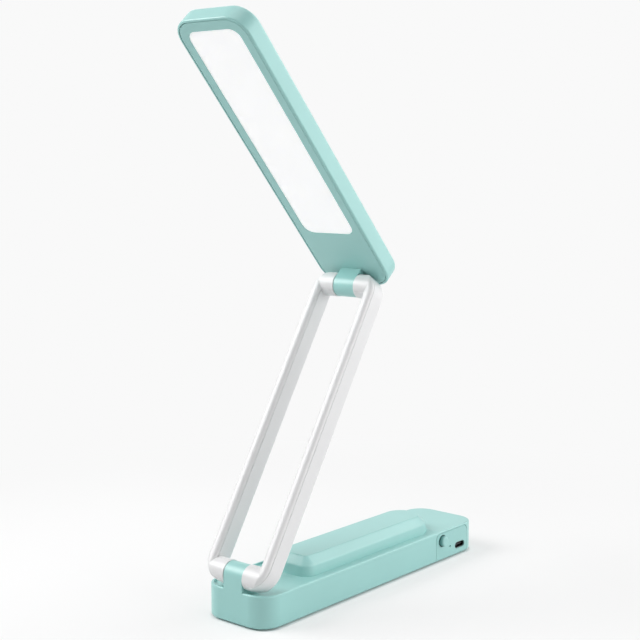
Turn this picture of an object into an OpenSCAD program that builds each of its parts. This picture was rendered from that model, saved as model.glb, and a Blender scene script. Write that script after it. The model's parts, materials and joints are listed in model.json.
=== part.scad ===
// Folding desk lamp: a long flat base with a cell under its hump, a loop-shaped arm
// and a flat lit head, joined by two knuckle hinges so that it folds flat in three layers.
// X runs across, Y along the base towards the socket end, Z up from the table.

/* [Base] */
// Length of the base, hinge end to socket end
base_l = 180; // [174:1:190]
// Width of the base
base_w = 41.6; // [41:0.1:46]
// Height of the rim above the table
rim_z = 17; // [16.4:0.1:17.1]
// Plan radius of the base's corners
base_corner_r = 11; // [9:0.5:13]
// Wall thickness of the base housing
base_wall = 2.4; // [2.2:0.1:2.6]
// Radius of the housing's lower edge
base_foot_r = 1.2; // [0.8:0.1:2.1]
// Radius of the rim's upper edge
rim_r = 0.8; // [0.3:0.1:1.2]
// Width of the flat rim round the sunk deck
lip_w = 1.5; // [1.2:0.1:2]
// Depth of the sunk deck below the rim
deck_sink = 1; // [0.5:0.1:1.2]
// Thickness of the deck plate
deck_t = 1.4; // [1.2:0.1:1.7]
// Length of the full-height deck at the socket end
rear_deck_l = 36; // [32:1:40]
// Length of the slope between the sunk deck and the full-height deck
ramp_l = 7; // [3:0.5:8]
// Gap between the table and the housing, taken up by the pad
stand_gap = 0.6; // [0.4:0.1:1]
// Thickness of the floor plate
floor_t = 2; // [1.8:0.1:2.4]

/* [Battery hump] */
// Width of the hump at its foot
hump_w = 28.4; // [27:0.1:28.6]
// Height of the hump's plateau above the table
hump_z = 25.2; // [24.6:0.1:27]
// Height of the hump's shoulder above the table
shoulder_z = 21.2; // [20.5:0.1:22]
// Distance from the front of the base to the hump's foot
hump_front = 38.5; // [34:0.5:42]
// Distance from the rear of the base to the hump's foot
hump_rear = 30.3; // [29:0.5:40]
// Draft of the hump's side, foot to shoulder
hump_draft = 1; // [0.5:0.1:1.3]
// Run of the sloping band, shoulder to plateau
hump_slope = 4; // [3:0.1:4.4]
// Plan radius of the hump's front corners
hump_front_r = 7; // [7:0.1:9]

/* [Hinges] */
// Outer radius of both knuckles
hinge_r = 5.9; // [5.8:0.05:6]
// Height of the lower hinge axis above the table
hinge_z = 23.4; // [23.3:0.1:24.4]
// Radius of the arm's necks inside the knuckles
neck_r = 4.2; // [3.9:0.1:4.3]
// Wall of the friction liners
liner_t = 0.5; // [0.4:0.05:0.6]
// Width of the knuckle on the base
lower_knuckle_w = 12; // [10:0.5:13]
// Width of the knuckle on the head
upper_knuckle_w = 13; // [10:0.5:14]
// Gap beside each knuckle
knuckle_gap = 0.25; // [0.15:0.05:0.4]
// Outer radius of the steel sleeves in the necks
sleeve_r = 2.6; // [2.4:0.1:2.8]
// Wall of the steel sleeves
sleeve_wall = 0.6; // [0.4:0.05:0.8]
// Half length of the steel sleeves
sleeve_half_l = 9.5; // [9:0.1:10]

/* [Arm] */
// Length of the arm, hinge axis to hinge axis
arm_l = 157.6; // [150:0.2:170]
// Width of the arm's loop
arm_w = 39.8; // [39.6:0.1:40.2]
// Width of each limb, seen from the front
limb_w = 5.3; // [5:0.1:5.4]
// Thickness of the arm, front to back
arm_t = 12.4; // [12:0.1:12.6]
// Radius of the limbs' long edges
limb_edge_r = 2.2; // [1.6:0.1:2.4]
// Plan radius of the loop's corners
arm_corner_r = 12; // [9:0.5:12.5]
// Wall thickness of the arm's shells
arm_wall = 1.2; // [1:0.05:1.4]
// Depth of the front cover
arm_cover_t = 2.6; // [2:0.1:3]
// Width of the groove between the arm's shells
arm_groove = 0.3; // [0.15:0.05:0.5]
// Angle of the arm above the base
arm_angle = 58.1; // [40:0.1:88]

/* [Head] */
// Distance from the upper hinge axis to the head's far end
head_l = 164.4; // [163:0.2:175]
// Width of the head
head_w = 44.4; // [43.6:0.1:48]
// Thickness of the head
head_t = 10; // [9.8:0.1:11]
// How far the head reaches past the upper hinge axis
head_overhang = 5.7; // [4.5:0.1:6]
// Distance from the upper hinge axis back to the lit face
head_gap = 6.6; // [6.5:0.1:7.6]
// Plan radius of the head's corners
head_corner_r = 11; // [9:0.5:13]
// Radius of the edge round the head's back
head_back_r = 2.5; // [1:0.1:4]
// Wall thickness of the head's back shell
head_wall = 2; // [1.9:0.05:2.2]
// Thickness of the shell's rim beside the front frame
head_lip = 1.2; // [1:0.05:1.3]
// Radius of the rim's outer edge
head_rim_r = 0.8; // [0.3:0.05:0.9]
// Width of the groove between the rim and the front frame
frame_gap = 0.3; // [0.15:0.05:0.35]
// Thickness of the front frame
bezel_t = 1.6; // [1.4:0.05:1.8]
// Depth of the front frame's seat in the rim
bezel_edge = 0.9; // [0.7:0.05:1.1]
// Radius of the front frame's outer edge
bezel_r = 0.3; // [0.1:0.05:0.5]
// Distance from the upper hinge axis to the window's near edge
window_start = 31; // [30:0.5:40]
// Distance from the window's far edge to the head's far end
window_end = 6.4; // [5.8:0.1:10]
// Width of the front frame beside the window
window_side = 6.15; // [5.8:0.05:8]
// Plan radius of the window's corners
window_r = 5.5; // [3:0.1:7]
// Angle of the head above the base, measured from the socket end
head_angle = 131.8; // [120:0.1:170]

/* [Light] */
// Thickness of the light board
led_board_t = 1; // [0.8:0.1:1.2]
// Number of light chips along the head
led_rows = 12; // [8:1:16]
// Number of light chips across the head
led_columns = 3; // [2:1:4]
// Side of each light chip
led_side = 2.8; // [2:0.1:3]
// Height of each light chip
led_h = 0.7; // [0.5:0.05:0.75]

/* [Socket panel] */
// Distance from the rear of the base to the panel
panel_rear = 9.95; // [9.5:0.05:12]
// Length of the panel
panel_l = 29.8; // [28:0.1:32]
// Height of the panel's upper edge above the table
panel_z = 16; // [15.2:0.1:16.1]
// Radius of the panel's upper corners
panel_r = 3.5; // [2:0.1:5]
// Gap round the panel
panel_gap = 0.25; // [0.1:0.01:0.3]
// Radius of the push button
button_r = 2.9; // [2.5:0.05:3.1]
// Gap round the push button
button_gap = 0.5; // [0.3:0.01:0.55]
// How far the push button stands proud of the panel
button_proud = 2.4; // [1.5:0.1:3]
// Distance from the panel's front edge to the button's axis
button_y = 5.8; // [5:0.1:6.5]
// Distance from the panel's front edge to the indicator
indicator_y = 13.3; // [12:0.1:14]
// Height of the indicator above the table
indicator_z = 6.9; // [6:0.1:8]
// Radius of the indicator's light pipe
indicator_r = 0.6; // [0.4:0.05:0.8]
// Depth of the indicator's light pipe below the panel's face
indicator_sunk = 1; // [0.2:0.1:1.5]
// Distance from the panel's front edge to the middle of the socket
usb_y = 22.8; // [21:0.1:23.2]
// Width of the socket's shell
usb_w = 8.94; // [8.8:0.01:9.1]
// Height of the socket's shell
usb_h = 3.26; // [3.1:0.01:3.4]

/* [Cell] */
// Diameter of the cell
cell_d = 18.3; // [18:0.1:18.4]
// Length of the cell
cell_l = 65; // [60:1:70]
// Gap between the cell and its cradle
cell_gap = 0.1; // [0.05:0.01:0.3]

/* [Pad and screws] */
// Width of the anti-slip pad
pad_w = 32; // [20:0.5:34]
// Distance from the base's ends to the anti-slip pad
pad_end = 15; // [14:0.5:30]
// Depth of the pad's seat in the floor plate
pad_seat = 0.4; // [0.2:0.1:0.6]
// Distance of the cover screws from the base's middle line
screw_x = 13; // [12:0.1:13.4]
// Distance of the cover screws from the base's ends
screw_end = 8; // [7.4:0.1:9]
// Shank radius of the cover screws
screw_r = 1.1; // [0.9:0.05:1.2]
// Shank length of the cover screws
screw_l = 8; // [6:0.5:9]

/* [Hidden] */
$fn = 64;

mint = [0.60, 0.81, 0.78];
milk = [0.95, 0.95, 0.95];
board_green = [0.10, 0.35, 0.20];
steel = [0.72, 0.73, 0.75];
black = [0.08, 0.08, 0.09];
copper_red = [0.75, 0.15, 0.12];

eps = 0.01;              // overlap of cuts and joins past a face
cut_over = 3;            // how far a cutter runs past the wall it goes through
post_root = 4;           // how deep the lower knuckle runs into the front wall
seat = 0.02;             // gap between faces that meet when assembled
slip = 0.03;             // radial gap of a pressed or sliding round fit
run_gap = 0.05;          // radial gap of a turning fit
screw_slack = 0.05;      // radial gap between a shank and its hole

// Base
half_w = base_w / 2;
front_y = -base_l / 2;
rear_y = base_l / 2;
deck_z = rim_z - deck_sink;
ceiling_z = deck_z - deck_t;
floor_z = stand_gap + floor_t;
cover_gap = 0.15;
hinge_y = front_y + hinge_r;
deck_end_y = rear_y - rear_deck_l;
ramp_y = deck_end_y - ramp_l;
screw_y = base_l / 2 - screw_end;
screw_head_r = 2 * screw_r;
screw_head_t = screw_r;
boss_wall = 1.6;
pad_l = base_l - 2 * pad_end;
pad_r = 6;

// Hump
hump_y0 = front_y + hump_front;
hump_y1 = rear_y - hump_rear;
hump_wall = 1.8;
hump_edge_r = 2.2;
hump_brow_r = 1.8;
hump_core = hump_draft + hump_slope;

// Hinges
liner_bore_r = neck_r + run_gap;
liner_r = liner_bore_r + liner_t;
knuckle_bore_r = liner_r + slip;
sleeve_bore_r = sleeve_r - sleeve_wall;
lead_r = 0.5;
lead_pitch = 1.06;
lead_hole_r = 1.1;

// Arm
arm_end_r = arm_t / 2;
arm_split_z = arm_end_r - arm_cover_t;
shoulder_t = 1.3;
snap = 0.15;              // how much a slot's mouth is narrower than the sleeve, each side
limb_x = arm_w / 2 - limb_w / 2;
lead_x = limb_x - 0.9;     // where the wires run, clear of the rounded corners
tip_y = hinge_y + arm_l * cos(arm_angle);
tip_z = hinge_z + arm_l * sin(arm_angle);

// Head, in its own frame: Y along the head, Z out of the lit face, origin on the hinge axis
head_start = -head_overhang;
face_z = -head_gap;
back_z = face_z - head_t;
bezel_back_z = face_z - bezel_t;
head_inner_w = head_w - 2 * head_wall;
frame_in = head_lip + frame_gap;
window_w = head_w - 2 * window_side;
window_y0 = window_start;
window_y1 = head_l - window_end;
diffuser_gap = 0.12;
diffuser_flange = 1.4;
diffuser_flange_t = 0.8;
diffuser_sunk = 0.25;
diffuser_back_z = bezel_back_z - seat - diffuser_flange_t;
tray_back_z = back_z + head_wall + 0.3 + led_board_t;
tray_floor_t = 0.8;
tray_wall = 1;
knuckle_root_y = 5.9;
knuckle_root_y0 = 2.6;
head_lead_y = (knuckle_root_y0 + knuckle_root_y) / 2;
flange_y1 = 20;
flange_t = 1.8;
knuckle_screw_y = 14;
knuckle_screw_x = 5;
tray_screw_x = 11;
tray_ear_r = 2.6;
tray_screw_y = window_y0 - diffuser_flange - tray_ear_r;
small_screw_r = 0.9;
small_head_r = 1.7;
small_head_t = 0.8;

// Socket panel
panel_y1 = rear_y - panel_rear;
panel_y0 = panel_y1 - panel_l;
btn_y = panel_y0 + button_y;
button_z = ceiling_z - button_r - 0.1;
pipe_y = panel_y0 + indicator_y;
port_y = panel_y0 + usb_y;
panel_hook_l = 2.2;
button_flange_r = button_r + 1;
button_flange_x = half_w - base_wall - seat;
button_flange_t = 0.8;
plunger_r = 1.2;
plunger_l = 2;
switch_side = 5.2;
switch_t = 1.6;
switch_x = half_w - base_wall - 4;

// Cell
cell_r = cell_d / 2;
cell_y0 = hump_y0 + 5.5;
cell_y1 = cell_y0 + cell_l;
cell_z = floor_z + 0.4 + cell_r;
tab_t = 0.3;
cradle_w = 22;
cradle_h = 5.5;
cradle_t = 1.6;
board_clear = 13;         // from the cell's end to the main board, room for the leads' bends

// Main board
board_t = 1.2;
usb_z = 5.8;
usb_l = 7.3;
usb_sunk = 0.5;
usb_wall = 0.3;
board_top_z = usb_z - usb_h / 2;
board_x0 = -15.5;
board_x1 = half_w - base_wall - 0.8;
board_y0 = cell_y1 + board_clear;
board_y1 = screw_y - screw_r - boss_wall - 0.8;
post_r = 2.2;
board_posts = [[board_x0 + 3, board_y0 + 4], [board_x0 + 3, board_y1 - 6]];

// ---------- shared shapes ----------

function unit(v) = v / norm(v);

// Points of an arc of radius r that rounds the corner b between points a and c
function round_corner(a, b, c, r, n = 6) =
    let (u = unit(a - b), v = unit(c - b), half = acos(u * v) / 2,
         centre = b + unit(u + v) * r / sin(half),
         s = b + u * r / tan(half) - centre, e = b + v * r / tan(half) - centre,
         a0 = atan2(s[1], s[0]), turn = atan2(s[0] * e[1] - s[1] * e[0], s * e))
    [for (i = [0 : n]) centre + r * [cos(a0 + turn * i / n), sin(a0 + turn * i / n)]];

// Profile of a soft-edged plate: x is minus the distance inside the outline, y is the height
module edge_profile(depth, z0, z1, low_r, high_r) {
    difference() {
        translate([-depth, z0]) square([depth, z1 - z0]);
        if (high_r > 0) translate([-high_r, z1 - high_r]) difference() {
            square(high_r + 1);
            circle(high_r);
        }
        if (low_r > 0) translate([-low_r, z0 + low_r]) mirror([0, 1]) difference() {
            square(low_r + 1);
            circle(low_r);
        }
    }
}

// Carries a profile round an outline of half width hw from y0 to y1, front and rear corners r0 and r1
module swept_edge(hw, y0, y1, r0, r1) {
    for (side = [0, 1]) mirror([side, 0, 0]) {
        translate([hw, y1 - r1, 0]) rotate([90, 0, 0]) linear_extrude(y1 - r1 - y0 - r0) children();
        translate([hw - r1, y1 - r1, 0]) rotate_extrude(angle = 90) translate([r1, 0]) children();
        translate([hw - r0, y0 + r0, 0]) rotate(-90) rotate_extrude(angle = 90)
            translate([r0, 0]) children();
    }
    if (hw > r1 + eps) translate([-(hw - r1), y1, 0]) rotate([90, 0, 90])
        linear_extrude(2 * (hw - r1)) children();
    if (hw > r0 + eps) translate([-(hw - r0), y0, 0]) mirror([0, 1, 0]) rotate([90, 0, 90])
        linear_extrude(2 * (hw - r0)) children();
}

// A plate with rounded plan corners and rounded lower and upper edges
module soft_plate(hw, y0, y1, r, z0, z1, low_r = 0, high_r = 0) {
    depth = max(low_r, high_r) + 0.5;
    core = depth - eps;
    plain_plate(hw - core, y0 + core, y1 - core, r - core, z0, z1);
    swept_edge(hw, y0, y1, r, r) edge_profile(depth, z0, z1, low_r, high_r);
}

// A plate's outline; a radius of 0 leaves the corners square
module outline(hw, y0, y1, r0, r1) {
    translate([-hw, y0 + r0]) square([2 * hw, y1 - y0 - r0 - r1]);
    translate([-(hw - r0), y0]) square([2 * (hw - r0), r0 + eps]);
    if (r1 > 0 && hw > r1) translate([-(hw - r1), y1 - r1 - eps]) square([2 * (hw - r1), r1 + eps]);
    for (s = [-1, 1]) {
        translate([s * (hw - r0), y0 + r0]) circle(r0);
        if (r1 > 0) translate([s * (hw - r1), y1 - r1]) circle(r1);
    }
}

module plain_plate(hw, y0, y1, r, z0, z1) {
    translate([0, 0, z0]) linear_extrude(z1 - z0) outline(hw, y0, y1, r, r);
}

// A straight round bar along X, centred
module bar_x(r, length) {
    rotate([0, 90, 0]) cylinder(r = r, h = length, center = true);
}

// A round-ended slot outline along X, in a plane square to Y after turning
module pill(w, h) {
    square([w - h, h], center = true);
    for (s = [-1, 1]) translate([s * (w - h) / 2, 0]) circle(h / 2);
}

// A lead that runs straight from point to point
module lead(points, r = lead_r) {
    for (i = [0 : len(points) - 2]) {
        d = points[i + 1] - points[i];
        translate(points[i]) rotate([0, acos(d[2] / norm(d)), atan2(d[1], d[0])])
            cylinder(r = r, h = norm(d));
        if (i > 0) translate(points[i]) sphere(r);
    }
}

module screw(r, length, head_r, head_t) {
    difference() {
        union() {
            cylinder(r = r, h = length);
            translate([0, 0, -head_t]) cylinder(r = head_r, h = head_t);
        }
        for (turn = [0, 90]) rotate(turn)
            translate([-head_r * 0.6, -r * 0.18, -head_t - eps]) cube([head_r * 1.2, r * 0.36, head_t / 2]);
    }
}

module on_arm() {
    translate([0, hinge_y, hinge_z]) rotate([arm_angle, 0, 0]) children();
}

module on_head() {
    translate([0, tip_y, tip_z]) rotate([head_angle, 0, 0]) children();
}

module at_cover_screws() {
    for (sx = [-1, 1], sy = [-1, 1]) translate([sx * screw_x, sy * screw_y, 0]) children();
}

// ---------- base ----------

module hump_outer() {
    foot = [0, deck_z - 0.5];
    shoulder = [-hump_draft, shoulder_z];
    brow = [-hump_core, hump_z];
    inside = [-hump_core - 1.2, hump_z];
    swept_edge(hump_w / 2, hump_y0, hump_y1, hump_front_r, hump_w / 2)
        polygon(concat([foot], round_corner(foot, shoulder, brow, hump_edge_r),
                       round_corner(shoulder, brow, brow - [2, 0], hump_brow_r),
                       [inside, [inside[0], foot[1]]]));
    hump_plate(hump_core, foot[1], hump_z);
}

// The hump's outline, moved inwards, between two heights
module hump_plate(inset, z0, z1) {
    translate([0, 0, z0]) linear_extrude(z1 - z0)
        outline(hump_w / 2 - inset, hump_y0 + inset, hump_y1 - inset,
                max(hump_front_r - inset, 0.5), hump_w / 2 - inset);
}

module hump_hollow() {
    step_z = shoulder_z - 0.8;
    hump_plate(hump_draft + hump_wall, ceiling_z - eps, step_z);
    hump_plate(hump_core + hump_wall, step_z - eps, hump_z - hump_wall);
}

module base_form() {
    soft_plate(half_w, front_y, rear_y, base_corner_r, stand_gap, rim_z, base_foot_r, rim_r);
}

module panel_block(gap) {
    y0 = panel_y0 - gap;
    y1 = panel_y1 + gap;
    top = panel_z + gap;
    translate([half_w - base_wall, 0, 0]) rotate([90, 0, 90]) linear_extrude(base_wall + 1) {
        translate([y0, 0]) square([y1 - y0, top - panel_r]);
        translate([y0 + panel_r, 0]) square([y1 - y0 - 2 * panel_r, top]);
        for (y = [y0 + panel_r, y1 - panel_r]) translate([y, top - panel_r]) circle(panel_r);
    }
}

// The sunk deck, which slopes up to the rim's height before the socket end
module deck_pocket() {
    hw = half_w - lip_w;
    translate([0, 0, deck_z]) linear_extrude(2 * deck_sink)
        outline(hw, front_y + lip_w, ramp_y, base_corner_r - lip_w, 0);
    translate([-hw, 0, 0]) rotate([90, 0, 90]) linear_extrude(2 * hw)
        polygon([[ramp_y - eps, deck_z], [ramp_y, deck_z], [ramp_y + 2 * ramp_l, deck_z + 2 * deck_sink],
                 [ramp_y - eps, deck_z + 2 * deck_sink]]);
}

module base_top_housing() {
    color(mint) difference() {
        union() {
            difference() {
                base_form();
                plain_plate(half_w - base_wall, front_y + base_wall, rear_y - base_wall,
                            base_corner_r - base_wall, stand_gap - 1, ceiling_z);
                deck_pocket();
                panel_block(panel_gap);
            }
            hump_outer();
            knuckle_post();
            at_cover_screws() translate([0, 0, floor_z])
                cylinder(r = screw_r + boss_wall, h = ceiling_z - floor_z + 0.5);
        }
        hump_hollow();
        at_cover_screws() translate([0, 0, floor_z - 1])
            cylinder(r = screw_r + screw_slack, h = screw_l + 1.2);
        translate([0, hinge_y, hinge_z]) bar_x(knuckle_bore_r, lower_knuckle_w + 1);
        translate([0, hinge_y, ceiling_z - 6]) cylinder(r = lead_hole_r, h = hinge_z - ceiling_z + 3);
    }
}

// The lower knuckle: a round-topped post that rises flush from the front wall
module knuckle_post() {
    translate([-lower_knuckle_w / 2, 0, 0]) rotate([90, 0, 90]) linear_extrude(lower_knuckle_w) {
        translate([hinge_y, hinge_z]) circle(hinge_r);
        translate([front_y, ceiling_z - post_root]) square([2 * hinge_r, hinge_z - ceiling_z + post_root]);
    }
}

module base_bottom_cover() {
    hw = half_w - base_wall - cover_gap;
    end = base_l / 2 - base_wall - cover_gap;
    r = base_corner_r - base_wall - cover_gap;
    color(mint) difference() {
        union() {
            plain_plate(hw, -end, end, r, stand_gap, floor_z);
            for (k = [0.15, 0.5, 0.85]) cell_cradle(cell_y0 + k * cell_l);
            for (p = board_posts) translate([p[0], p[1], floor_z - eps])
                cylinder(r = post_r, h = board_top_z - board_t - floor_z + eps);
        }
        plain_plate(pad_w / 2 + seat, -pad_l / 2 - seat, pad_l / 2 + seat, pad_r, stand_gap - 1,
                    stand_gap + pad_seat);
        at_cover_screws() {
            translate([0, 0, stand_gap - 1]) cylinder(r = screw_r + 2 * screw_slack, h = floor_t + 2);
            translate([0, 0, stand_gap - 1]) cylinder(r = screw_head_r + 0.15, h = screw_head_t + 1.1);
        }
        for (p = board_posts) translate([p[0], p[1], stand_gap + pad_seat + 0.4])
            cylinder(r = small_screw_r + screw_slack, h = 10);
    }
}

module cell_cradle(y) {
    difference() {
        translate([-cradle_w / 2, y - cradle_t / 2, floor_z - eps]) cube([cradle_w, cradle_t, cradle_h]);
        translate([0, y, cell_z]) rotate([90, 0, 0])
            cylinder(r = cell_r + cell_gap, h = 2 * cradle_t, center = true);
    }
}

module base_screws() {
    color(steel) at_cover_screws() translate([0, 0, stand_gap + screw_head_t + 0.1])
        screw(screw_r, screw_l, screw_head_r, screw_head_t);
}

module antislip_pad() {
    color("gainsboro") plain_plate(pad_w / 2, -pad_l / 2, pad_l / 2, pad_r, 0, stand_gap + pad_seat);
}

module port_panel() {
    color(mint) difference() {
        union() {
            intersection() {
                base_form();
                panel_block(0);
            }
            panel_hook(panel_y0 - 1, panel_y0);
            panel_hook(panel_y1 - panel_hook_l, panel_y1 - panel_hook_l + 0.6);
        }
        translate([half_w - base_wall - cut_over, btn_y, button_z]) rotate([0, 90, 0])
            cylinder(r = button_r + button_gap, h = base_wall + 2 * cut_over);
        translate([half_w - base_wall - cut_over, pipe_y, indicator_z]) rotate([0, 90, 0])
            cylinder(r = indicator_r + screw_slack, h = base_wall + 2 * cut_over);
        translate([half_w - base_wall - cut_over, port_y, usb_z]) rotate([90, 0, 90])
            linear_extrude(base_wall + 2 * cut_over) pill(usb_w + 0.4, usb_h + 0.4);
    }
}

// A hook behind the housing's wall: the lip starts at y and the root at root_y
module panel_hook(y, root_y) {
    x = half_w - base_wall;
    translate([x - 1.1, y, 4.5]) cube([0.8, panel_hook_l + 0.5, ceiling_z - 5.5]);
    translate([x - 1.1, root_y, 4.5]) cube([1.1 + eps, panel_hook_l - 0.6, ceiling_z - 5.5]);
}

module usb_c_shell() {
    color(steel) translate([half_w - usb_sunk - usb_l, port_y, usb_z]) rotate([90, 0, 90])
        difference() {
            linear_extrude(usb_l) pill(usb_w, usb_h);
            translate([0, 0, 0.8]) linear_extrude(usb_l) pill(usb_w - 2 * usb_wall, usb_h - 2 * usb_wall);
        }
}

module usb_c_tongue() {
    color(black) translate([half_w - usb_sunk - usb_l + 0.8, port_y - usb_w / 2 + 1.2, usb_z - 0.35])
        cube([usb_l - 1.6, usb_w - 2.4, 0.7]);
}

module charge_light_pipe() {
    x0 = board_x1 - 1.1;
    color("lightcyan") translate([x0, pipe_y, indicator_z]) {
        rotate([0, 90, 0]) cylinder(r = indicator_r, h = half_w - indicator_sunk - x0);
        translate([-0.6, -indicator_r, board_top_z - indicator_z])
            cube([1.2, 2 * indicator_r, indicator_z - board_top_z + indicator_r]);
    }
}

module main_board() {
    color(board_green) difference() {
        translate([board_x0, board_y0, board_top_z - board_t])
            cube([board_x1 - board_x0, board_y1 - board_y0, board_t]);
        for (p = board_posts) translate([p[0], p[1], board_top_z - board_t - cut_over])
            cylinder(r = small_screw_r + screw_slack, h = board_t + 2 * cut_over);
    }
}

// Chips, coil and capacitors: x, y from the board's corner, then length, width and height
module board_chips() {
    parts = [[9, 4, 5, 5, 1.2], [17, 4, 6, 6, 2.8], [9, 14, 4, 5, 1], [16, 14, 3.2, 1.6, 1.2],
             [20.5, 14, 3.2, 1.6, 1.2], [9, 23, 5, 4, 1.6], [17, 23, 2, 1.2, 0.9], [20, 23, 2, 1.2, 0.9]];
    color(black) for (p = parts)
        translate([board_x0 + p[0], board_y0 + p[1], board_top_z]) cube([p[2], p[3], p[4]]);
}

module board_screws() {
    color(steel) for (p = board_posts) translate([p[0], p[1], board_top_z]) mirror([0, 0, 1])
        screw(small_screw_r, board_top_z - stand_gap - pad_seat - 0.6, small_head_r, small_head_t);
}

module switch_board() {
    color(board_green) translate([switch_x - board_t, btn_y - 5, board_top_z])
        cube([board_t, 10, ceiling_z - board_top_z - 0.1]);
}

module tact_switch() {
    color(black) difference() {
        translate([switch_x, btn_y - switch_side / 2, button_z - switch_side / 2])
            cube([switch_t, switch_side, switch_side]);
        translate([switch_x + 0.4, btn_y, button_z]) rotate([0, 90, 0])
            cylinder(r = plunger_r + run_gap, h = switch_t);
    }
}

module battery_cell() {
    color("steelblue") translate([0, cell_y0, cell_z]) rotate([-90, 0, 0]) {
        cylinder(r = cell_r, h = cell_l - 1);
        translate([0, 0, cell_l - 1]) cylinder(r = 3, h = 1);
    }
}

module battery_tabs() {
    color(steel) for (y = [cell_y0 - tab_t, cell_y1]) translate([-3, y, cell_z - 7]) cube([6, tab_t, 10]);
}

module battery_foam() {
    top = hump_z - hump_wall;
    color("dimgray") translate([-4, cell_y0 + 10, cell_z + cell_r + seat])
        cube([8, cell_l - 20, top - cell_z - cell_r - 2 * seat]);
}

module battery_leads() {
    z = board_top_z + lead_r;
    low = cell_z - 6;
    red_y = cell_y1 + 4;
    black_y = cell_y0 - 2.5;
    side_x = 14;
    color(copper_red) lead([[2, cell_y1 + tab_t, low], [2, red_y, low], [2, red_y, z], [2, board_y0 + 3, z]]);
    color(black) lead([[2, cell_y0 - tab_t, low], [2, black_y, low], [side_x, black_y, low],
                       [side_x, board_y0 - 2, low], [side_x, board_y0 - 2, z], [side_x, board_y0 + 3, z]]);
}

// Two wires, one above the other along the housing, that turn up side by side into the knuckle's post
module lamp_lead() {
    side_x = -half_w + base_wall + 1.8;
    turn_y = front_y + 15;
    for (k = [0, 1]) color(k < 1 ? copper_red : black) {
        z = board_top_z + lead_r + k * lead_pitch;
        y = hinge_y + (k - 0.5) * lead_pitch;
        lead([[board_x0 + 6.5, board_y0 + 6 - 4 * k, z], [board_x0 + 6.5, board_y0 - 2, z],
              [side_x, board_y0 - 2, z], [side_x, turn_y, z], [0, turn_y, z], [0, y, z],
              [0, y, hinge_z - knuckle_bore_r - 0.5]]);
    }
}

module liner(width, hole_y) {
    difference() {
        bar_x(liner_r, width);
        bar_x(liner_bore_r, width + 1);
        translate([0, hole_y, -liner_r - 1]) cylinder(r = lead_hole_r, h = liner_r + 1);
    }
}

module lower_hinge_liner() {
    color("ivory") translate([0, hinge_y, hinge_z]) liner(lower_knuckle_w, 0);
}

// ---------- button ----------

// A domed cap whose flange behind the panel is cut flat at the top, so that it can't turn
module power_button() {
    dome_r = 1.2;
    tip = half_w + button_proud - button_flange_x;
    color(mint) {
        translate([button_flange_x, btn_y, button_z]) rotate([0, 90, 0]) rotate_extrude() intersection() {
            square([button_r, tip]);
            union() {
                square([button_r, tip - dome_r]);
                square([button_r - dome_r, tip]);
                translate([button_r - dome_r, tip - dome_r]) circle(dome_r);
            }
        }
        intersection() {
            translate([button_flange_x - button_flange_t, btn_y, button_z]) rotate([0, 90, 0])
                cylinder(r = button_flange_r, h = button_flange_t + eps);
            translate([0, btn_y - 10, 0]) cube([half_w, 20, ceiling_z - 0.1]);
        }
    }
}

module switch_plunger() {
    x1 = button_flange_x - button_flange_t;
    color("whitesmoke") translate([x1 - plunger_l, btn_y, button_z]) rotate([0, 90, 0])
        cylinder(r = plunger_r, h = plunger_l);
}

// ---------- arm ----------

// The arm seen from the side: a bar with fully round ends
module arm_side() {
    translate([-arm_w, 0, 0]) rotate([90, 0, 90]) linear_extrude(2 * arm_w) {
        translate([0, -arm_end_r - 1]) square([arm_l, arm_t + 2]);
        for (y = [0, arm_l]) translate([y, 0]) circle(arm_end_r);
    }
}

// The opening between the limbs, with their inner edges rounded, up to the round end bars
module arm_window() {
    x = arm_w / 2 - limb_w;
    difference() {
        rotate([-90, 0, 0]) linear_extrude(arm_l) {
            square([2 * x, arm_t + 2], center = true);
            for (sx = [0, 1], sz = [0, 1]) mirror([sx, 0]) mirror([0, sz])
                translate([x, arm_end_r - limb_edge_r]) difference() {
                    square([limb_edge_r, limb_edge_r + 1]);
                    translate([limb_edge_r, 0]) circle(limb_edge_r);
                }
        }
        for (end = [[0, -90], [arm_l, 90]]) translate([0, end[0], 0]) rotate([end[1], 0, 0])
            bar_x(arm_end_r, arm_w);
    }
}

// The loop between two heights: two limbs and two round bars with a rounded plan outline
module arm_loop(z0, z1, low_r, high_r) {
    difference() {
        intersection() {
            soft_plate(arm_w / 2, -arm_end_r, arm_l + arm_end_r, arm_corner_r, z0, z1, low_r, high_r);
            arm_side();
        }
        arm_window();
    }
}

// Boxes over the necks and their shoulders, from the hinge axis towards the front
module neck_zones(gap, z0) {
    for (hinge = [[0, lower_knuckle_w], [arm_l, upper_knuckle_w]]) {
        w = hinge[1] + 2 * (knuckle_gap + shoulder_t + gap);
        translate([-w / 2, hinge[0] - arm_end_r - 1, z0]) cube([w, arm_t + 2, arm_t]);
    }
}

// Everything that the knuckles need clear round the necks, and the bores for the sleeves
module hinge_clearance() {
    for (hinge = [[0, lower_knuckle_w], [arm_l, upper_knuckle_w]]) translate([0, hinge[0], 0]) {
        difference() {
            bar_x(arm_end_r + 2, hinge[1] + 2 * knuckle_gap);
            bar_x(neck_r, hinge[1] + 2 * knuckle_gap + 1);
        }
        bar_x(sleeve_r + slip, 2 * sleeve_half_l + 0.4);
    }
}

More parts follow.
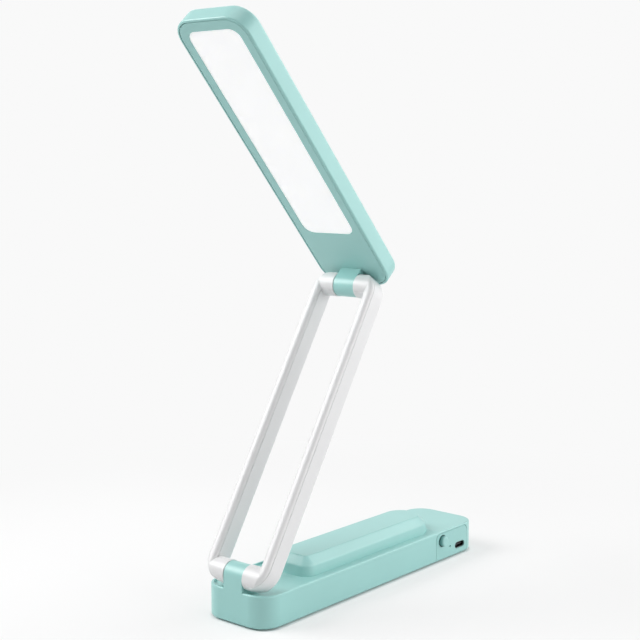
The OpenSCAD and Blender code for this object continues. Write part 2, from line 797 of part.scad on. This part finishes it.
// Channels along the limbs, pockets in the end bars and the way between them for the lead
module arm_channels() {
    depth = arm_end_r - arm_wall;
    way = 1.2;
    pocket_x0 = max(lower_knuckle_w, upper_knuckle_w) / 2 + knuckle_gap + shoulder_t + 1;
    pocket_x1 = limb_x - 5;
    for (side = [0, 1]) mirror([side, 0, 0]) {
        translate([limb_x - limb_w / 2 + arm_wall, 4, -depth])
            cube([limb_w - 2 * arm_wall, arm_l - 8, 2 * depth]);
        translate([lead_x - way / 2, -way, -sleeve_bore_r])
            cube([way, arm_l + 2 * way, arm_split_z + sleeve_bore_r + eps]);
        for (y = [0, arm_l]) translate([0, y, 0]) {
            translate([pocket_x0, -3.4, -3.4]) cube([pocket_x1 - pocket_x0, 6.8, arm_split_z + 3.4 + eps]);
            translate([pocket_x1 - eps, -way, -sleeve_bore_r])
                cube([lead_x - pocket_x1, 2 * way, arm_split_z + sleeve_bore_r + eps]);
        }
    }
}

module arm_rear_frame() {
    color(milk) on_arm() difference() {
        arm_loop(-arm_end_r, arm_split_z, limb_edge_r, 0);
        neck_zones(slip, 0);
        hinge_clearance();
        arm_channels();
        for (y = [0, arm_l]) translate([-sleeve_half_l - 0.2, y - sleeve_r + snap, 0])
            cube([2 * sleeve_half_l + 0.4, 2 * (sleeve_r - snap), arm_t]);
    }
}

// The cover's low rail, a little inside the outline, that leaves a fine groove between the shells
module cover_rail() {
    y = sqrt(pow(arm_end_r, 2) - pow(arm_split_z + arm_groove, 2)) - arm_groove;
    x = arm_w / 2 - limb_w + arm_groove;
    difference() {
        plain_plate(arm_w / 2 - arm_groove, -y, arm_l + y, arm_corner_r, arm_split_z,
                    arm_split_z + arm_groove + eps);
        translate([-x, y, 0]) cube([2 * x, arm_l - 2 * y, arm_t]);
    }
}

module arm_front_cover() {
    top = arm_split_z + arm_groove;
    color(milk) on_arm() difference() {
        union() {
            difference() {
                arm_loop(0, arm_end_r, 0, limb_edge_r);
                difference() {
                    translate([-arm_w, -arm_t, -1]) cube([2 * arm_w, arm_l + 2 * arm_t, top + 1]);
                    neck_zones(0, -2);
                }
            }
            cover_rail();
        }
        hinge_clearance();
        arm_channels();
    }
}

module sleeve() {
    difference() {
        bar_x(sleeve_r, 2 * sleeve_half_l);
        bar_x(sleeve_bore_r, 2 * sleeve_half_l + 1);
    }
}

module lower_hinge_sleeve() {
    color(steel) on_arm() sleeve();
}

module upper_hinge_sleeve() {
    color(steel) on_arm() translate([0, arm_l, 0]) sleeve();
}

// Two wires that lie in the sleeves and run along the channel of one limb
module arm_lead() {
    for (k = [0, 1]) color(k < 1 ? copper_red : black) on_arm() {
        z = -sleeve_bore_r + lead_r + seat + k * lead_pitch;
        lead([[0, 0, z], [lead_x, 0, z], [lead_x, arm_l, z], [0, arm_l, z]]);
    }
}

// ---------- head ----------

module head_rear_shell() {
    color(mint) on_head() {
        difference() {
            soft_plate(head_w / 2, head_start, head_l, head_corner_r, back_z, face_z,
                       head_back_r, head_rim_r);
            plain_plate(head_inner_w / 2, head_start + head_wall, head_l - head_wall,
                        head_corner_r - head_wall, back_z + head_wall, face_z + 1);
            plain_plate(head_w / 2 - head_lip, head_start + head_lip, head_l - head_lip,
                        head_corner_r - head_lip, face_z - bezel_edge - seat, face_z + 1);
        }
        for (s = [-1, 1]) translate([s * knuckle_screw_x, knuckle_screw_y, back_z + head_wall - eps])
            difference() {
                cylinder(r = 2.4, h = bezel_back_z - seat - flange_t - seat - back_z - head_wall);
                translate([0, 0, 0.5]) cylinder(r = small_screw_r + screw_slack, h = head_t);
            }
    }
}

module head_bezel() {
    color(mint) on_head() difference() {
        union() {
            soft_plate(head_w / 2 - frame_in, head_start + frame_in, head_l - frame_in,
                       head_corner_r - frame_in, face_z - bezel_edge, face_z, 0, bezel_r);
            plain_plate(head_inner_w / 2 - cover_gap, head_start + head_wall + cover_gap,
                        head_l - head_wall - cover_gap, head_corner_r - head_wall - cover_gap,
                        bezel_back_z, face_z - bezel_edge + eps);
            for (s = [-1, 1]) translate([s * tray_screw_x, tray_screw_y, diffuser_back_z - seat])
                cylinder(r = 2, h = bezel_back_z - diffuser_back_z + 2 * seat);
        }
        plain_plate(window_w / 2, window_y0, window_y1, window_r, bezel_back_z - 1, face_z + 1);
        translate([-upper_knuckle_w / 2 - 0.1, knuckle_root_y0 - 0.1, bezel_back_z - 1])
            cube([upper_knuckle_w + 0.2, knuckle_root_y - knuckle_root_y0 + 0.2, bezel_t + 2]);
        for (s = [-1, 1]) translate([s * tray_screw_x, tray_screw_y, diffuser_back_z - 1])
            cylinder(r = small_screw_r + screw_slack, h = 2.6);
    }
}

// The upper knuckle: a ring with a root that passes through the front frame to a flange inside
module head_knuckle() {
    root = [knuckle_root_y, face_z];
    reach = norm(root);
    lean = atan2(root[1], root[0]) + acos(hinge_r / reach);
    top = bezel_back_z - seat;
    color(mint) on_head() difference() {
        union() {
            translate([-upper_knuckle_w / 2, 0, 0]) rotate([90, 0, 90]) linear_extrude(upper_knuckle_w)
                union() {
                    circle(hinge_r);
                    polygon([[0, 0], [knuckle_root_y0, 0], [knuckle_root_y0, top - flange_t],
                             [root[0], top - flange_t], root, hinge_r * [cos(lean), sin(lean)]]);
                }
            translate([-8.5, knuckle_root_y0 + 0.4, top - flange_t])
                cube([17, flange_y1 - knuckle_root_y0 - 0.4, flange_t]);
        }
        bar_x(knuckle_bore_r, upper_knuckle_w + 1);
        translate([0, head_lead_y, top - flange_t - 1])
            cylinder(r = lead_hole_r, h = flange_t + 1 - top);
        for (s = [-1, 1]) translate([s * knuckle_screw_x, knuckle_screw_y, top]) {
            translate([0, 0, -flange_t - 1]) cylinder(r = small_screw_r + screw_slack, h = flange_t + 2);
            translate([0, 0, -small_head_t - 0.1]) cylinder(r = small_head_r + 0.1, h = 2);
        }
    }
}

module upper_hinge_liner() {
    color("ivory") on_head() liner(upper_knuckle_w, head_lead_y);
}

module knuckle_screws() {
    color(steel) on_head() for (s = [-1, 1])
        translate([s * knuckle_screw_x, knuckle_screw_y, bezel_back_z - seat - small_head_t - 0.1])
            mirror([0, 0, 1]) screw(small_screw_r, 4, small_head_r, small_head_t);
}

module light_diffuser() {
    color("white") on_head() {
        plain_plate(window_w / 2 - diffuser_gap, window_y0 + diffuser_gap, window_y1 - diffuser_gap,
                    window_r - diffuser_gap, diffuser_back_z, face_z - diffuser_sunk);
        plain_plate(window_w / 2 + diffuser_flange, window_y0 - diffuser_flange,
                    window_y1 + diffuser_flange, window_r + diffuser_flange, diffuser_back_z,
                    bezel_back_z - seat);
    }
}

// Centres of the light chips
function led_spots() = [
    for (i = [0 : led_columns - 1], j = [0 : led_rows - 1])
        [(i - (led_columns - 1) / 2) * window_w / led_columns,
         window_y0 + (j + 0.5) * (window_y1 - window_y0) / led_rows]
];

module reflector_tray() {
    hw = window_w / 2 + diffuser_flange;
    top = diffuser_back_z - seat;
    color("snow") on_head() difference() {
        union() {
            plain_plate(hw, window_y0 - diffuser_flange, window_y1 + diffuser_flange,
                        window_r + diffuser_flange, tray_back_z, top);
            for (s = [-1, 1]) translate([s * tray_screw_x, 0, top - 1.2]) {
                translate([0, tray_screw_y, 0]) cylinder(r = tray_ear_r, h = 1.2 - seat);
                translate([-tray_ear_r, tray_screw_y, 0]) cube([2 * tray_ear_r, tray_ear_r + 1, 1.2 - seat]);
            }
        }
        plain_plate(hw - tray_wall, window_y0 - diffuser_flange + tray_wall,
                    window_y1 + diffuser_flange - tray_wall, window_r, tray_back_z + tray_floor_t, top + 1);
        for (p = led_spots()) translate([p[0], p[1], tray_back_z])
            cube([led_side + 0.4, led_side + 0.4, 4], center = true);
        for (s = [-1, 1]) translate([s * tray_screw_x, tray_screw_y, top - 2])
            cylinder(r = small_screw_r + screw_slack, h = 4);
    }
}

module led_board() {
    z = tray_back_z - seat - led_board_t;
    color("white") on_head()
        plain_plate(window_w / 2, window_y0, window_y1, 2, z, z + led_board_t);
}

module led_chips() {
    color("lightyellow") on_head() for (p = led_spots())
        translate([p[0] - led_side / 2, p[1] - led_side / 2, tray_back_z - seat])
            cube([led_side, led_side, led_h]);
}

module tray_screws() {
    color(steel) on_head() for (s = [-1, 1])
        translate([s * tray_screw_x, tray_screw_y, diffuser_back_z - seat - 1.2 - seat])
            screw(small_screw_r, 2.4, small_head_r, small_head_t);
}

module head_lead() {
    low = back_z + head_wall + 0.75;
    for (k = [-1, 1]) color(k < 0 ? copper_red : black) on_head()
        lead([[k * lead_pitch / 2, head_lead_y, face_z + 1], [k * lead_pitch / 2, head_lead_y, low],
              [k * lead_pitch / 2, window_y0 - seat, low]]);
}

base_top_housing();
base_bottom_cover();
base_screws();
antislip_pad();
port_panel();
usb_c_shell();
usb_c_tongue();
charge_light_pipe();
main_board();
board_chips();
board_screws();
switch_board();
tact_switch();
battery_cell();
battery_tabs();
battery_foam();
battery_leads();
lamp_lead();
lower_hinge_liner();
power_button();
switch_plunger();
arm_rear_frame();
arm_front_cover();
lower_hinge_sleeve();
upper_hinge_sleeve();
arm_lead();
head_rear_shell();
head_bezel();
head_knuckle();
upper_hinge_liner();
knuckle_screws();
light_diffuser();
reflector_tray();
led_board();
led_chips();
tray_screws();
head_lead();
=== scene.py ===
import json
import math

import bpy
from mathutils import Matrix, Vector


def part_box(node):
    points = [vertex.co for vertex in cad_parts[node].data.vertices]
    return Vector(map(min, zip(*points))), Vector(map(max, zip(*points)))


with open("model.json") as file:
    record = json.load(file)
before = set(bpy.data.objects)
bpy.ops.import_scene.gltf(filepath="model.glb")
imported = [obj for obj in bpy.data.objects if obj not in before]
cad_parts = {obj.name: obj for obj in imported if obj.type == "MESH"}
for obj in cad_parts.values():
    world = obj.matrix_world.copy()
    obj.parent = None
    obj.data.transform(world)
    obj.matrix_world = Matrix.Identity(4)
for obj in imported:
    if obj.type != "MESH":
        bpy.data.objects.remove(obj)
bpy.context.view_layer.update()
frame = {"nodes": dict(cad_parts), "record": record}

# ---------------------------------------------------------------- values
# lengths in metres, angles in degrees, colours linear

CAMERA_POS = (0.41710, -0.51952, 0.22358)
CAMERA_YAW = 40.14
CAMERA_PITCH = 7.23
CAMERA_LENS = 72.55             # millimetres, on the sensor below
CAMERA_SENSOR = 36.0
CAMERA_NEAR = 0.01
CAMERA_FAR = 20.0

BACKGROUND = 0.947              # the pale backdrop
SKY_STRENGTH = 0.10             # soft light from all round on the object

FLOOR_HALF = 3.0
FLOOR_DROP = 0.00005            # how far the floor lies under the object
FLOOR_LIT = 0.42                # diffuse part of the floor near the object, which takes its shadow
FLOOR_LIGHT = 1.0               # how much of a white surface's brightness the bare floor has
FLOOR_BOUNCE = 0.8              # how much of the light on it the floor sends back to the object
FLOOR_NEAR = 0.16               # from the middle to where the floor starts to fade into the backdrop
FLOOR_FAR = 0.34                # and to where it has become the backdrop

base_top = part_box("base_top_housing")[1]
CONTACT_PAPER = 0.95            # the plain paper under and right beside the base
CONTACT_HALF = (base_top.x, base_top.y, 1.0)     # half the base's outline, and any height
CONTACT_CORNER = 0.011          # radius of the base's corners
CONTACT_FADE = 0.0014           # from the base's outline to where the floor stops being plain paper

LIGHT_TARGET = Vector((0, 0, 0.08))
# name, azimuth from +X, elevation and distance as seen from the target, side, watts
LIGHTS = [
    ("top", 0, 90, 1.3, 0.9, 4.0),
    ("left", 222, 37, 1.1, 0.7, 10.4),
    ("right", 6, 17, 1.1, 0.75, 5.0),
    ("right_back", 51, 17, 1.1, 0.8, 4.0),
    ("back", 68, 39, 1.1, 0.7, 1.9),
]

MINT = (0.343, 0.643, 0.616)
PANEL_MINT = 0.985              # the side panel's share of the shell's brightness
MILK = (0.782, 0.782, 0.787)
OPAL = (0.90, 0.90, 0.91)
OPAL_GLOW = 0.285               # the lit diffuser's own light

PLASTIC_GLOSS = 0.57            # specular level of moulded plastic
PLASTIC_PATCHES = 0.012         # how far its roughness wanders either way
SOFT_RADIUS = 0.004             # how deep light goes into soft plastic
SOFT_SCALE = 0.5

BUTTON_ROOT = base_top.x - 0.0008       # x where the painted shade of the button's hole is darkest
BUTTON_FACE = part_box("power_button")[1].x
# painted shade of the button's hole: from root to face, the share of the shell's colour that is left
BUTTON_HOLE_PAINTED_SHADE = [
    (0.05, (0.05, 0.09, 0.09)),
    (0.30, (0.36, 0.50, 0.50)),
    (0.72, (0.48, 0.60, 0.60)),
    (0.95, (1, 1, 1)),
]

# most of a noise texture's values lie between these
NOISE_LOW = 0.25
NOISE_HIGH = 0.75
# where a colour made from noise starts and ends its change
MOTTLE_LOW = 0.3
MOTTLE_HIGH = 0.7


# ---------------------------------------------------------------- shader nodes

def fill(node, values):
    """Sets a node's sockets by name."""
    for name, value in values.items():
        node.inputs[name].default_value = value


def node_of(tree, kind, **values):
    """Adds a shader node and sets its sockets."""
    node = tree.nodes.new(kind)
    fill(node, values)
    return node


def grey(level):
    """A grey as a shader colour."""
    return (level, level, level, 1)


def scaled(colour, factor):
    """A colour made brighter or darker."""
    return tuple(min(channel * factor, 1.0) for channel in colour)


def blank(name):
    """A new node material with a Principled shader on its output."""
    mat = bpy.data.materials.new(name)
    mat.use_nodes = True
    tree = mat.node_tree
    tree.nodes.clear()
    out = tree.nodes.new("ShaderNodeOutputMaterial")
    shader = tree.nodes.new("ShaderNodeBsdfPrincipled")
    tree.links.new(shader.outputs["BSDF"], out.inputs["Surface"])
    return mat, tree, shader


def place(tree):
    """The object's own coordinates."""
    return tree.nodes.new("ShaderNodeTexCoord").outputs["Object"]


def noise(tree, scale, detail, stretch=None):
    """Noise in the object's own coordinates, drawn out along an axis where stretch is small."""
    node = node_of(tree, "ShaderNodeTexNoise", Scale=scale, Detail=detail)
    where = place(tree)
    if stretch:
        mapping = node_of(tree, "ShaderNodeMapping", Scale=stretch)
        tree.links.new(where, mapping.inputs["Vector"])
        where = mapping.outputs["Vector"]
    tree.links.new(where, node.inputs["Vector"])
    return node.outputs["Fac"]


def ramp(tree, source, stops):
    """A colour ramp through stops, each a position and a colour."""
    node = tree.nodes.new("ShaderNodeValToRGB")
    elements = node.color_ramp.elements
    for element, (position, colour) in ((elements[0], stops[0]), (elements[1], stops[-1])):
        element.position = position
        element.color = (*colour, 1)
    for position, colour in stops[1:-1]:
        elements.new(position).color = (*colour, 1)
    tree.links.new(source, node.inputs["Fac"])
    return node.outputs["Color"]


def mottle(tree, source, colour, low, high):
    """A colour that wanders between two strengths of itself with a noise."""
    return ramp(tree, source, [(MOTTLE_LOW, scaled(colour, low)), (MOTTLE_HIGH, scaled(colour, high))])


def map_range(tree, source, low, high, smooth=False):
    """A node that maps low to high onto 0 to 1."""
    node = tree.nodes.new("ShaderNodeMapRange")
    fill(node, {"From Min": low, "From Max": high})
    if smooth:
        node.interpolation_type = "SMOOTHSTEP"
    tree.links.new(source, node.inputs["Value"])
    return node


def spread(tree, source, low, high):
    """Maps noise onto a range of values."""
    node = map_range(tree, source, NOISE_LOW, NOISE_HIGH)
    fill(node, {"To Min": low, "To Max": high})
    return node.outputs["Result"]


def bump(tree, shader, source, strength, distance, before=None):
    """Adds a bump, on top of an earlier one if there is one."""
    node = node_of(tree, "ShaderNodeBump", Strength=strength, Distance=distance)
    tree.links.new(source, node.inputs["Height"])
    if before:
        tree.links.new(before, node.inputs["Normal"])
    tree.links.new(node.outputs["Normal"], shader.inputs["Normal"])
    return node.outputs["Normal"]


def soften(shader, weight, radius):
    """Lets light some way into the material."""
    fill(shader, {"Subsurface Weight": weight, "Subsurface Radius": radius, "Subsurface Scale": SOFT_SCALE})


def vector_math(tree, operation, source, value=None):
    """A vector operation on a socket, with a second vector or none."""
    node = tree.nodes.new("ShaderNodeVectorMath")
    node.operation = operation
    tree.links.new(source, node.inputs[0])
    if value:
        node.inputs[1].default_value = value
    return node


def larger(tree, first, second):
    """The larger of two values."""
    node = tree.nodes.new("ShaderNodeMath")
    node.operation = "MAXIMUM"
    tree.links.new(first, node.inputs[0])
    tree.links.new(second, node.inputs[1])
    return node.outputs[0]


def mix(tree, factor, first, second):
    """One shader where factor is 0, another where it is 1."""
    node = tree.nodes.new("ShaderNodeMixShader")
    tree.links.new(factor, node.inputs[0])
    tree.links.new(first, node.inputs[1])
    tree.links.new(second, node.inputs[2])
    return node.outputs["Shader"]


def seen_or_bounced(tree, seen, bounced):
    """One shader for rays that see it, directly, in a gloss or through glass, another for bounced light."""
    rays = tree.nodes.new("ShaderNodeLightPath").outputs
    direct = larger(tree, rays["Is Camera Ray"], rays["Is Glossy Ray"])
    looks = larger(tree, direct, rays["Is Transmission Ray"])
    return mix(tree, looks, bounced, seen)


# ---------------------------------------------------------------- materials

def moulded(name, colour, rough=0.33, grain=0.05, vary=0.015, soft=0.0, shade=None):
    """Injection-moulded plastic: spark-eroded grain, faint flow marks and uneven gloss."""
    mat, tree, shader = blank(name)
    paint = mottle(tree, noise(tree, scale=38.0, detail=3.0), colour, 1 - vary, 1 + vary)
    # shade, if given, paints shade into the colour, as on the push button
    if shade:
        paint = shade(tree, paint)
    tree.links.new(paint, shader.inputs["Base Color"])
    patches = noise(tree, scale=260.0, detail=3.0)
    gloss = spread(tree, patches, rough - PLASTIC_PATCHES, rough + PLASTIC_PATCHES)
    tree.links.new(gloss, shader.inputs["Roughness"])
    flow = noise(tree, scale=55.0, detail=1.0)
    waves = bump(tree, shader, flow, strength=0.04, distance=0.0004)
    pits = noise(tree, scale=4200.0, detail=2.0)
    bump(tree, shader, pits, strength=grain, distance=0.00003, before=waves)
    fill(shader, {"Specular IOR Level": PLASTIC_GLOSS})
    if soft:
        soften(shader, soft, (SOFT_RADIUS, SOFT_RADIUS, SOFT_RADIUS))
    return mat


def paint_button_hole_shade(tree, paint):
    """Paints the shade of its hole onto the push button's side and root, darker towards the root."""
    split = tree.nodes.new("ShaderNodeSeparateXYZ")
    tree.links.new(place(tree), split.inputs["Vector"])
    depth = map_range(tree, split.outputs["X"], BUTTON_ROOT, BUTTON_FACE)
    blend = tree.nodes.new("ShaderNodeMix")
    blend.data_type = "RGBA"
    blend.blend_type = "MULTIPLY"
    fill(blend, {"Factor": 1.0})
    tree.links.new(paint, blend.inputs["A"])
    tree.links.new(ramp(tree, depth.outputs["Result"], BUTTON_HOLE_PAINTED_SHADE), blend.inputs["B"])
    return blend.outputs["Result"]


def metal(name, colour, rough=0.28, stretch=(1, 1, 1)):
    """Drawn or plated steel with fine lines along one direction."""
    mat, tree, shader = blank(name)
    lines = noise(tree, scale=1500.0, detail=3.0, stretch=stretch)
    tree.links.new(mottle(tree, lines, colour, 0.9, 1.05), shader.inputs["Base Color"])
    tree.links.new(spread(tree, lines, rough - 0.08, rough + 0.1), shader.inputs["Roughness"])
    fill(shader, {"Metallic": 1.0})
    bump(tree, shader, lines, strength=0.15, distance=0.00002)
    return mat


def board(name, colour, track):
    """Solder mask over copper tracks."""
    mat, tree, shader = blank(name)
    tracks = node_of(tree, "ShaderNodeTexBrick", Scale=260.0, Mortar=(*track, 1))
    fill(tracks, {"Color1": (*colour, 1), "Color2": (*scaled(colour, 0.85), 1), "Mortar Size": 0.03})
    tree.links.new(place(tree), tracks.inputs["Vector"])
    tree.links.new(tracks.outputs["Color"], shader.inputs["Base Color"])
    bump(tree, shader, tracks.outputs["Fac"], strength=0.2, distance=0.00004)
    fill(shader, {"Roughness": 0.38})
    return mat


def rubber(name, colour, rough=0.75):
    """Matt rubber or foam with a coarse skin."""
    mat, tree, shader = blank(name)
    skin = noise(tree, scale=300.0, detail=4.0)
    tree.links.new(mottle(tree, skin, colour, 0.92, 1.06), shader.inputs["Base Color"])
    fill(shader, {"Roughness": rough})
    bump(tree, shader, noise(tree, scale=2600.0, detail=3.0), strength=0.5, distance=0.00006)
    return mat


def opal(name, colour):
    """Frosted diffuser: light enters it, it glows a little, and its surface is finely etched."""
    mat, tree, shader = blank(name)
    clouds = noise(tree, scale=30.0, detail=2.0)
    tree.links.new(mottle(tree, clouds, colour, 0.985, 1.01), shader.inputs["Base Color"])
    frost = noise(tree, scale=1200.0, detail=2.0)
    tree.links.new(spread(tree, frost, 0.42, 0.52), shader.inputs["Roughness"])
    soften(shader, 0.35, (SOFT_RADIUS, SOFT_RADIUS, SOFT_RADIUS + 0.001))
    bump(tree, shader, noise(tree, scale=5200.0, detail=2.0), strength=0.25, distance=0.00002)
    fill(shader, {"Emission Color": (1, 1, 1, 1), "Emission Strength": OPAL_GLOW})
    return mat


def clear(name, colour):
    """Polished light pipe."""
    mat, tree, shader = blank(name)
    clouds = noise(tree, scale=200.0, detail=2.0)
    tree.links.new(mottle(tree, clouds, colour, 0.97, 1.0), shader.inputs["Base Color"])
    polish = noise(tree, scale=1500.0, detail=2.0)
    tree.links.new(spread(tree, polish, 0.08, 0.16), shader.inputs["Roughness"])
    fill(shader, {"Transmission Weight": 0.6, "IOR": 1.49})
    return mat


# slot: kind of material, colour and what sets it apart from others of its kind
FINISHES = {
    "mint_shell": (moulded, MINT, {}),
    "mint_panel": (moulded, scaled(MINT, PANEL_MINT), {}),
    # the push button's side and root get painted shade of its hole
    "mint_button": (moulded, MINT, {"shade": paint_button_hole_shade}),
    "mint_bezel": (moulded, MINT, {"rough": 0.32}),
    "white_arm": (moulded, MILK, {"rough": 0.36, "grain": 0.03, "vary": 0.008, "soft": 0.12}),
    "diffuser_white": (opal, OPAL, {}),
    "tray_white": (moulded, (0.9, 0.9, 0.9), {"rough": 0.5}),
    "led_board_white": (board, (0.86, 0.86, 0.84), {"track": (0.75, 0.74, 0.70)}),
    "led_phosphor": (moulded, (0.85, 0.72, 0.22), {"rough": 0.35}),
    "liner_ivory": (moulded, (0.78, 0.74, 0.62), {"rough": 0.5}),
    "sleeve_steel": (metal, (0.55, 0.56, 0.58), {"stretch": (0.05, 1, 1)}),
    "steel_screw": (metal, (0.52, 0.53, 0.55), {"rough": 0.33}),
    # the port's shell is darker than bare steel, partly for its black plating and partly as painted shade
    # inside the port's opening
    "socket_steel": (metal, (0.15, 0.15, 0.155), {"rough": 0.25, "stretch": (0.08, 1, 1)}),
    "socket_tongue": (moulded, (0.02, 0.02, 0.022), {"rough": 0.5}),
    "light_pipe": (clear, (0.08, 0.24, 0.23), {}),
    "circuit_board": (board, (0.012, 0.085, 0.035), {"track": (0.05, 0.20, 0.09)}),
    "chip_black": (moulded, (0.012, 0.012, 0.014), {"rough": 0.55}),
    "cell_wrap": (moulded, (0.03, 0.11, 0.34), {"rough": 0.22, "grain": 0.1}),
    "foam_grey": (rubber, (0.05, 0.05, 0.055), {"rough": 0.9}),
    "wire_red": (moulded, (0.5, 0.02, 0.015), {"rough": 0.4, "grain": 0.1}),
    "wire_black": (moulded, (0.012, 0.012, 0.014), {"rough": 0.4, "grain": 0.1}),
    "pad_rubber": (rubber, (0.45, 0.48, 0.48), {}),
}


def dress_frame():
    """Gives each CAD node the material of its slot."""
    materials = {slot: make(slot, colour, **options) for slot, (make, colour, options) in FINISHES.items()}
    for part in frame["record"]["subparts"]:
        slots = frame["nodes"][part["node"]].data.materials
        slots.clear()
        slots.append(materials[part["material_slot"]])


# ---------------------------------------------------------------- stage, lights and camera

def paper_near(tree, where):
    """The floor near the object: part paper, part glow, but plain paper right beside the base."""
    shaded = node_of(tree, "ShaderNodeBsdfDiffuse", Color=grey(FLOOR_LIT))
    glow = node_of(tree, "ShaderNodeEmission", Color=grey(1), Strength=BACKGROUND - FLOOR_LIT * FLOOR_LIGHT)
    bare = tree.nodes.new("ShaderNodeAddShader")
    tree.links.new(shaded.outputs["BSDF"], bare.inputs[0])
    tree.links.new(glow.outputs["Emission"], bare.inputs[1])
    paper = node_of(tree, "ShaderNodeBsdfDiffuse", Color=grey(CONTACT_PAPER))
    corner_at = [half - CONTACT_CORNER for half in CONTACT_HALF]
    folded = vector_math(tree, "ABSOLUTE", where)
    inset = vector_math(tree, "SUBTRACT", folded.outputs["Vector"], corner_at)
    outside = vector_math(tree, "MAXIMUM", inset.outputs["Vector"])
    gap = vector_math(tree, "LENGTH", outside.outputs["Vector"])
    edge = CONTACT_CORNER + CONTACT_FADE
    clear_of = map_range(tree, gap.outputs["Value"], CONTACT_CORNER, edge, smooth=True)
    return mix(tree, clear_of.outputs["Result"], paper.outputs["BSDF"], bare.outputs["Shader"])


def paper_floor(name):
    """A pale floor: the camera sees it as the backdrop, less the object's shadow."""
    mat = bpy.data.materials.new(name)
    mat.use_nodes = True
    tree = mat.node_tree
    tree.nodes.clear()
    where = place(tree)
    reach = vector_math(tree, "LENGTH", where)
    fade = map_range(tree, reach.outputs["Value"], FLOOR_NEAR, FLOOR_FAR, smooth=True)
    far = node_of(tree, "ShaderNodeEmission", Color=grey(1), Strength=BACKGROUND)
    seen = mix(tree, fade.outputs["Result"], paper_near(tree, where), far.outputs["Emission"])
    plain = node_of(tree, "ShaderNodeBsdfDiffuse", Color=grey(FLOOR_BOUNCE))
    out = tree.nodes.new("ShaderNodeOutputMaterial")
    tree.links.new(seen_or_bounced(tree, seen, plain.outputs["BSDF"]), out.inputs["Surface"])
    return mat


def make_floor():
    """The floor, a hair under the object."""
    mesh = bpy.data.meshes.new("floor")
    corners = [(x * FLOOR_HALF, y * FLOOR_HALF, 0) for x, y in ((-1, -1), (1, -1), (1, 1), (-1, 1))]
    mesh.from_pydata(corners, [], [(0, 1, 2, 3)])
    floor = bpy.data.objects.new("floor", mesh)
    bpy.context.collection.objects.link(floor)
    floor.location.z = -FLOOR_DROP
    mesh.materials.append(paper_floor("floor_paper"))


def make_world():
    """A plain sky: soft light on the object, the backdrop's colour to the camera."""
    world = bpy.data.worlds.new("studio")
    bpy.context.scene.world = world
    world.use_nodes = True
    tree = world.node_tree
    tree.nodes.clear()
    sky = node_of(tree, "ShaderNodeBackground", Color=grey(1), Strength=SKY_STRENGTH)
    back = node_of(tree, "ShaderNodeBackground", Color=grey(BACKGROUND), Strength=1.0)
    out = tree.nodes.new("ShaderNodeOutputWorld")
    shown = seen_or_bounced(tree, back.outputs["Background"], sky.outputs["Background"])
    tree.links.new(shown, out.inputs["Surface"])


def area_light(name, azimuth, elevation, distance, size, watts):
    """A square softbox that faces the object."""
    turn = math.radians(azimuth)
    rise = math.radians(elevation)
    level = math.cos(rise)
    direction = Vector((level * math.cos(turn), level * math.sin(turn), math.sin(rise)))
    light = bpy.data.lights.new(name, "AREA")
    light.shape = "SQUARE"
    light.size = size
    light.energy = watts
    obj = bpy.data.objects.new(name, light)
    bpy.context.collection.objects.link(obj)
    obj.location = LIGHT_TARGET + distance * direction
    obj.rotation_mode = "QUATERNION"
    obj.rotation_quaternion = (-direction).to_track_quat("-Z", "Y")


def make_camera():
    """The photograph's viewing angle."""
    data = bpy.data.cameras.new("camera")
    data.lens = CAMERA_LENS
    data.sensor_width = CAMERA_SENSOR
    data.clip_start = CAMERA_NEAR
    data.clip_end = CAMERA_FAR
    camera = bpy.data.objects.new("camera", data)
    bpy.context.collection.objects.link(camera)
    camera.location = CAMERA_POS
    camera.rotation_euler = (math.radians(90 - CAMERA_PITCH), 0, math.radians(CAMERA_YAW))
    bpy.context.scene.camera = camera


dress_frame()
make_floor()
make_world()
for light in LIGHTS:
    area_light(*light)
make_camera()
bpy.context.scene.view_settings.view_transform = "Standard"
